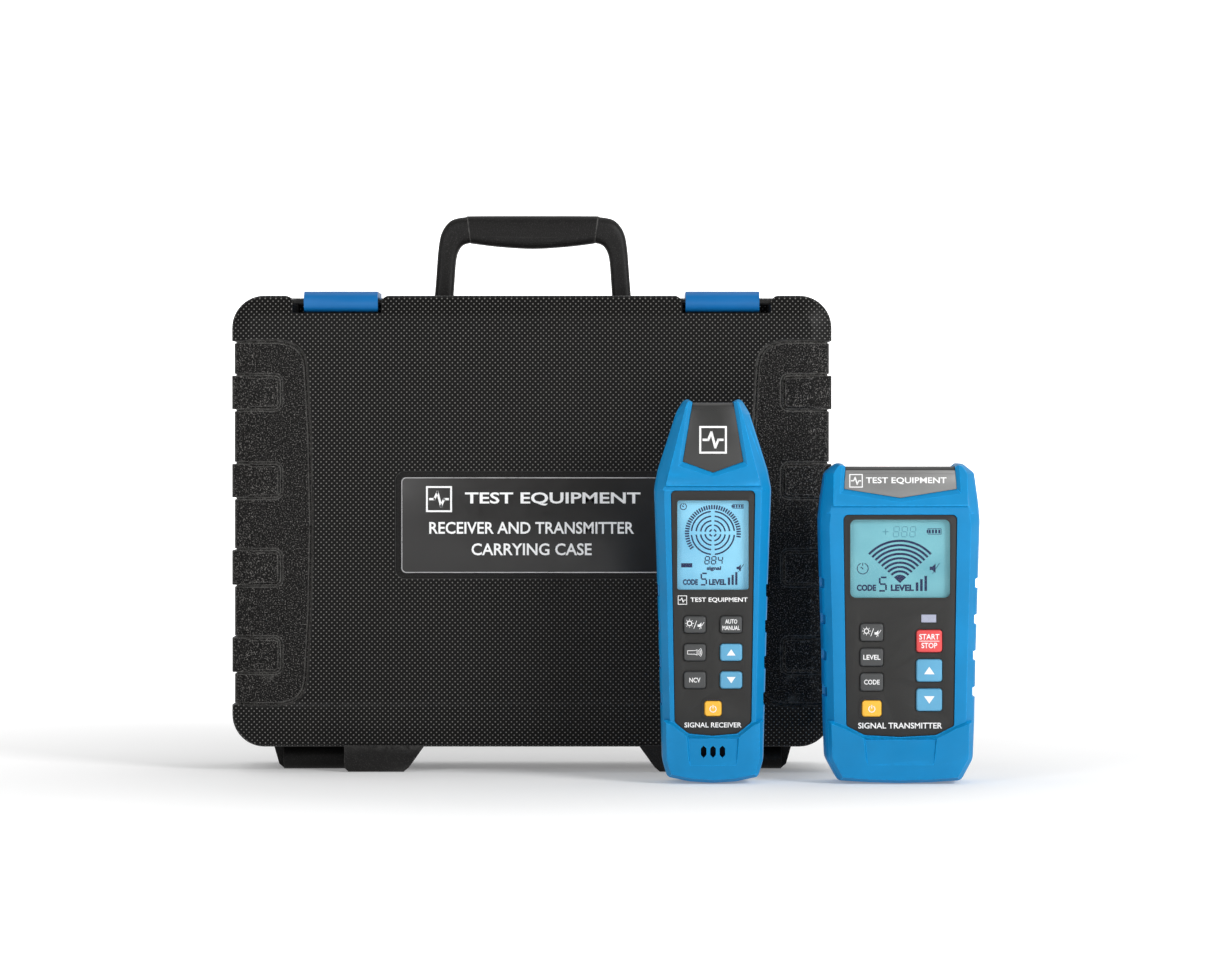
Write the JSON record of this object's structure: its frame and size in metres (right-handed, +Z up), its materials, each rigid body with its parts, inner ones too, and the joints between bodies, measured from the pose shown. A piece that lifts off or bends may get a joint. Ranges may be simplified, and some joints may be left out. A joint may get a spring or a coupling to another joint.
{
  "type": "circuit breaker finder kit",
  "caption": "Handheld signal receiver with a tapered nose and wider signal transmitter, both blue with displays and keypads, standing before a latched carrying case.",
  "frame": {"origin": "centre of the whole kit's footprint, on the floor that the case and both tools stand on", "axes": "+X to the right along the case's width, -Y out of the displays towards the viewer, +Z up"},
  "size_m": [0.454, 0.2, 0.3452],
  "materials": {
    "case_black": "grained moulded plastic",
    "case_lining": "thin matte moulding",
    "label_gloss": "glossy plate",
    "latch_blue": "satin moulded plastic",
    "steel": "bright",
    "tool_blue": "satin moulded plastic",
    "cap_grey": "satin moulded plastic",
    "clear_window": "clear polished",
    "panel_black": "fine matte moulding",
    "display": "lit liquid crystal panel",
    "key_grey": "soft-touch",
    "key_sky": "soft-touch",
    "key_yellow": "soft-touch",
    "key_red": "soft-touch",
    "black_rubber": "matte",
    "board_green": "solder mask",
    "battery_case": "wrapped metal can",
    "ferrite": "sintered ceramic",
    "copper": "enamelled wire",
    "lamp": "frosted lens",
    "socket_red": "moulded plastic",
    "socket_black": "moulded plastic"
  },
  "bodies": {
    "case_front": {"case_front_shell": "case_black", "case_front_liner": "case_lining", "case_label": "label_gloss", "latch_pin_left": "steel", "latch_pin_right": "steel", "hinge_pin_left": "steel", "hinge_pin_right": "steel"},
    "case_back": {"case_back_shell": "case_black", "case_inner_tray": "case_lining", "handle_pin_left": "steel", "handle_pin_right": "steel"},
    "latch_left_body": {"latch_left": "latch_blue"},
    "latch_right_body": {"latch_right": "latch_blue"},
    "handle_body": {"carry_handle": "case_black"},
    "receiver_unit": {"receiver_front_cover": "tool_blue", "receiver_back_cover": "tool_blue", "receiver_nose_cap": "cap_grey", "receiver_torch_lens": "clear_window", "receiver_faceplate": "panel_black", "receiver_window": "clear_window", "receiver_display": "display", "receiver_key_mat": "black_rubber", "receiver_circuit_board": "board_green", "receiver_battery": "battery_case", "receiver_speaker": "black_rubber", "receiver_ferrite_rod": "ferrite", "receiver_antenna_coil": "copper"},
    "receiver_backlight_button": {"receiver_key_backlight": "key_grey"},
    "receiver_mode_button": {"receiver_key_mode": "key_grey"},
    "receiver_torch_button": {"receiver_key_torch": "key_grey"},
    "receiver_up_button": {"receiver_key_up": "key_sky"},
    "receiver_voltage_button": {"receiver_key_voltage": "key_grey"},
    "receiver_down_button": {"receiver_key_down": "key_sky"},
    "receiver_power_button": {"receiver_key_power": "key_yellow"},
    "receiver_door_body": {"receiver_battery_door": "tool_blue"},
    "receiver_screw_body": {"receiver_door_screw": "steel"},
    "transmitter_unit": {"transmitter_front_cover": "tool_blue", "transmitter_back_cover": "tool_blue", "transmitter_nose_cap": "cap_grey", "transmitter_faceplate": "panel_black", "transmitter_window": "clear_window", "transmitter_display": "display", "transmitter_status_lamp": "lamp", "transmitter_key_mat": "black_rubber", "transmitter_circuit_board": "board_green", "transmitter_battery": "battery_case", "transmitter_buzzer": "black_rubber", "transmitter_socket_signal": "socket_red", "transmitter_socket_ground": "socket_black"},
    "transmitter_backlight_button": {"transmitter_key_backlight": "key_grey"},
    "transmitter_level_button": {"transmitter_key_level": "key_grey"},
    "transmitter_code_button": {"transmitter_key_code": "key_grey"},
    "transmitter_power_button": {"transmitter_key_power": "key_yellow"},
    "transmitter_start_button": {"transmitter_key_start": "key_red"},
    "transmitter_up_button": {"transmitter_key_up": "key_sky"},
    "transmitter_down_button": {"transmitter_key_down": "key_sky"},
    "transmitter_door_body": {"transmitter_battery_door": "tool_blue"},
    "transmitter_screw_body": {"transmitter_door_screw": "steel"}
  },
  "joints": [
    {"name": "case_opening", "type": "hinge", "parent": "case_front", "child": "case_back", "pos_m": [-0.042, 0.034, 0.0075], "axis": [-1, 0, 0], "range_deg": [0, 95]},
    {"name": "latch_left_swing", "type": "hinge", "parent": "case_front", "child": "latch_left_body", "pos_m": [-0.1595, 0.0035, 0.29], "axis": [1, 0, 0], "range_deg": [0, 110]},
    {"name": "latch_right_swing", "type": "hinge", "parent": "case_front", "child": "latch_right_body", "pos_m": [0.0755, 0.0035, 0.29], "axis": [1, 0, 0], "range_deg": [0, 110]},
    {"name": "handle_fold", "type": "hinge", "parent": "case_back", "child": "handle_body", "pos_m": [-0.042, 0.0445, 0.2875], "axis": [-1, 0, 0], "range_deg": [0, 90]},
    {"name": "receiver_lift", "type": "slide", "parent": "case_front", "child": "receiver_unit", "axis": [0, 0, 1], "range_m": [0, 0.35]},
    {"name": "receiver_backlight_press", "type": "slide", "parent": "receiver_unit", "child": "receiver_backlight_button", "axis": [0, 1, 0], "range_m": [0, 0.001], "stiffness_N_per_m": 400},
    {"name": "receiver_mode_press", "type": "slide", "parent": "receiver_unit", "child": "receiver_mode_button", "axis": [0, 1, 0], "range_m": [0, 0.001], "stiffness_N_per_m": 400},
    {"name": "receiver_torch_press", "type": "slide", "parent": "receiver_unit", "child": "receiver_torch_button", "axis": [0, 1, 0], "range_m": [0, 0.001], "stiffness_N_per_m": 400},
    {"name": "receiver_up_press", "type": "slide", "parent": "receiver_unit", "child": "receiver_up_button", "axis": [0, 1, 0], "range_m": [0, 0.001], "stiffness_N_per_m": 400},
    {"name": "receiver_voltage_press", "type": "slide", "parent": "receiver_unit", "child": "receiver_voltage_button", "axis": [0, 1, 0], "range_m": [0, 0.001], "stiffness_N_per_m": 400},
    {"name": "receiver_down_press", "type": "slide", "parent": "receiver_unit", "child": "receiver_down_button", "axis": [0, 1, 0], "range_m": [0, 0.001], "stiffness_N_per_m": 400},
    {"name": "receiver_power_press", "type": "slide", "parent": "receiver_unit", "child": "receiver_power_button", "axis": [0, 1, 0], "range_m": [0, 0.001], "stiffness_N_per_m": 400},
    {"name": "receiver_door_removal", "type": "slide", "parent": "receiver_unit", "child": "receiver_door_body", "axis": [0, 1, 0], "range_m": [0, 0.03]},
    {"name": "receiver_screw_turn", "type": "hinge", "parent": "receiver_door_body", "child": "receiver_screw_body", "pos_m": [0.0675, -0.06, 0.0175], "axis": [0, 1, 0], "continuous": true},
    {"name": "transmitter_lift", "type": "slide", "parent": "case_front", "child": "transmitter_unit", "axis": [0, 0, 1], "range_m": [0, 0.35]},
    {"name": "transmitter_backlight_press", "type": "slide", "parent": "transmitter_unit", "child": "transmitter_backlight_button", "axis": [0, 1, 0], "range_m": [0, 0.001], "stiffness_N_per_m": 400},
    {"name": "transmitter_level_press", "type": "slide", "parent": "transmitter_unit", "child": "transmitter_level_button", "axis": [0, 1, 0], "range_m": [0, 0.001], "stiffness_N_per_m": 400},
    {"name": "transmitter_code_press", "type": "slide", "parent": "transmitter_unit", "child": "transmitter_code_button", "axis": [0, 1, 0], "range_m": [0, 0.001], "stiffness_N_per_m": 400},
    {"name": "transmitter_power_press", "type": "slide", "parent": "transmitter_unit", "child": "transmitter_power_button", "axis": [0, 1, 0], "range_m": [0, 0.001], "stiffness_N_per_m": 400},
    {"name": "transmitter_start_press", "type": "slide", "parent": "transmitter_unit", "child": "transmitter_start_button", "axis": [0, 1, 0], "range_m": [0, 0.001], "stiffness_N_per_m": 400},
    {"name": "transmitter_up_press", "type": "slide", "parent": "transmitter_unit", "child": "transmitter_up_button", "axis": [0, 1, 0], "range_m": [0, 0.001], "stiffness_N_per_m": 400},
    {"name": "transmitter_down_press", "type": "slide", "parent": "transmitter_unit", "child": "transmitter_down_button", "axis": [0, 1, 0], "range_m": [0, 0.001], "stiffness_N_per_m": 400},
    {"name": "transmitter_door_removal", "type": "slide", "parent": "transmitter_unit", "child": "transmitter_door_body", "axis": [0, 1, 0], "range_m": [0, 0.03]},
    {"name": "transmitter_screw_turn", "type": "hinge", "parent": "transmitter_door_body", "child": "transmitter_screw_body", "pos_m": [0.179, -0.054, 0.0215], "axis": [0, 1, 0], "continuous": true}
  ]
}
